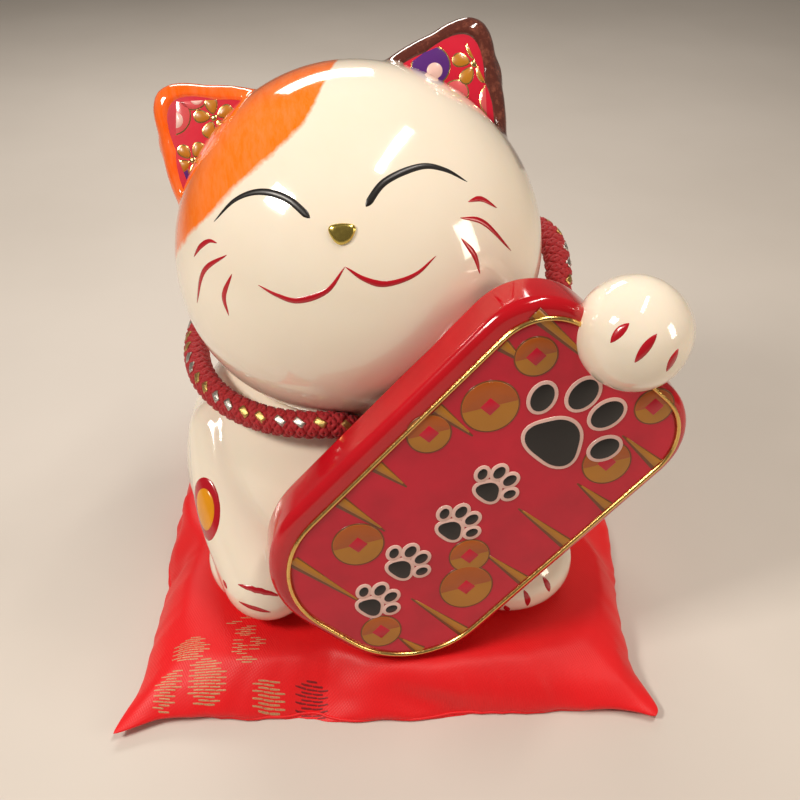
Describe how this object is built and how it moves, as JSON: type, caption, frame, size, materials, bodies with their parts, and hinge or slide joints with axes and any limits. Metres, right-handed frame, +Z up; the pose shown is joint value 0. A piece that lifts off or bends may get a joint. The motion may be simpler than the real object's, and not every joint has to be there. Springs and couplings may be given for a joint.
{
  "type": "ceramic cat figurine",
  "caption": "Glazed ceramic beckoning cat sitting on a satin cushion, tilted round head, paws holding a slanting oblong plaque, braided cord collar.",
  "frame": {"origin": "middle of the cushion's underside, on the surface it stands on", "axes": "+Z up, the cat faces -Y, +X to the cat's own left, which is the viewer's right"},
  "size_m": [0.1504, 0.15, 0.1665],
  "materials": {
    "satin": "red satin with a fine twill and pale gold brocade blossoms",
    "wadding": "white polyester wadding",
    "white_glaze": "glossy warm white glaze",
    "orange_glaze": "glossy brushed orange under-glaze",
    "brown_glaze": "glossy mottled brown under-glaze",
    "red_glaze": "glossy red glaze",
    "gilt": "bright gold lustre on ceramic",
    "printed_sheet": "red ceramic transfer print under a clear glaze",
    "braid": "red braided cord with gold and silver metallic thread",
    "soft_plug": "translucent soft vinyl"
  },
  "bodies": {
    "cushion": {"cushion_top_cover": "satin", "cushion_bottom_cover": "satin", "cushion_wadding": "wadding"},
    "cat": {"torso_shell": "white_glaze", "head_shell": "white_glaze", "nose": "gilt", "right_ear": "orange_glaze", "right_ear_transfer": "printed_sheet", "left_ear": "brown_glaze", "left_ear_transfer": "printed_sheet", "lowered_arm": "white_glaze", "raised_arm": "white_glaze", "left_foot": "white_glaze", "right_foot": "white_glaze", "tail": "white_glaze", "plaque_slab": "red_glaze", "plaque_gilt_rim": "gilt", "plaque_face_transfer": "printed_sheet", "collar_cord": "braid"},
    "stopper": {"base_stopper": "soft_plug"}
  },
  "joints": [
    {"name": "cat_lift", "type": "slide", "parent": "cushion", "child": "cat", "axis": [0, 0, 1], "range_m": [0, 0.06]},
    {"name": "stopper_pull", "type": "slide", "parent": "cat", "child": "stopper", "axis": [0, 0, -1], "range_m": [0, 0.006]}
  ]
}
